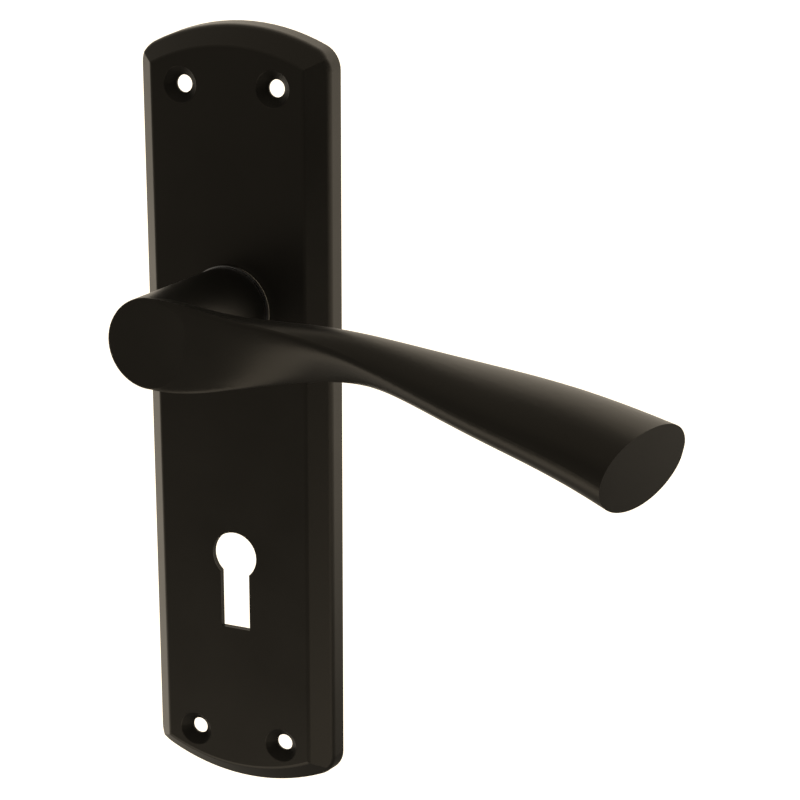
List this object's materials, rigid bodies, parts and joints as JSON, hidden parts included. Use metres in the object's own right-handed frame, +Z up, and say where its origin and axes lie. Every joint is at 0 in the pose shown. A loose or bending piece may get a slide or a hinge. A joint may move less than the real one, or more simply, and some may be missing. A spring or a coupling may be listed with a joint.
{
  "type": "lever handle on lock backplate",
  "caption": "Matt black sprung lever handle with a twisted grip on a long bevelled backplate with a keyhole and countersunk fixing holes.",
  "frame": {"origin": "on the spindle's axis, in the plane of the door's face (the back of the plate)", "axes": "+Z up along the plate, +X towards the lever's free end, -Y out of the door towards the user"},
  "size_m": [0.1315, 0.0532, 0.175],
  "materials": {
    "black_finish": "matt black with a brown cast, satin on the edges",
    "plated_steel": "bright plated",
    "spring_steel": "oiled spring steel",
    "zinc_steel": "zinc plated, dull",
    "black_steel": "blackened",
    "nylon": "natural nylon"
  },
  "bodies": {
    "plate": {"backplate": "black_finish", "slip_washer": "plated_steel", "neck_bush": "nylon", "thrust_washer": "plated_steel", "return_spring": "spring_steel", "stop_pins": "plated_steel", "rear_bush": "nylon", "spring_cover": "zinc_steel", "cover_screws": "zinc_steel"},
    "lever": {"lever": "black_finish", "wave_washer": "spring_steel", "circlip": "spring_steel", "drive_cam": "zinc_steel", "grub_screw": "black_steel"}
  },
  "joints": [
    {"name": "lever_turn", "type": "hinge", "parent": "plate", "child": "lever", "pos_m": [0, 0, 0], "axis": [0, 1, 0], "range_deg": [0, 40], "stiffness_Nm_per_rad": 1, "springref_deg": -20.05, "deforming": ["return_spring"]}
  ]
}
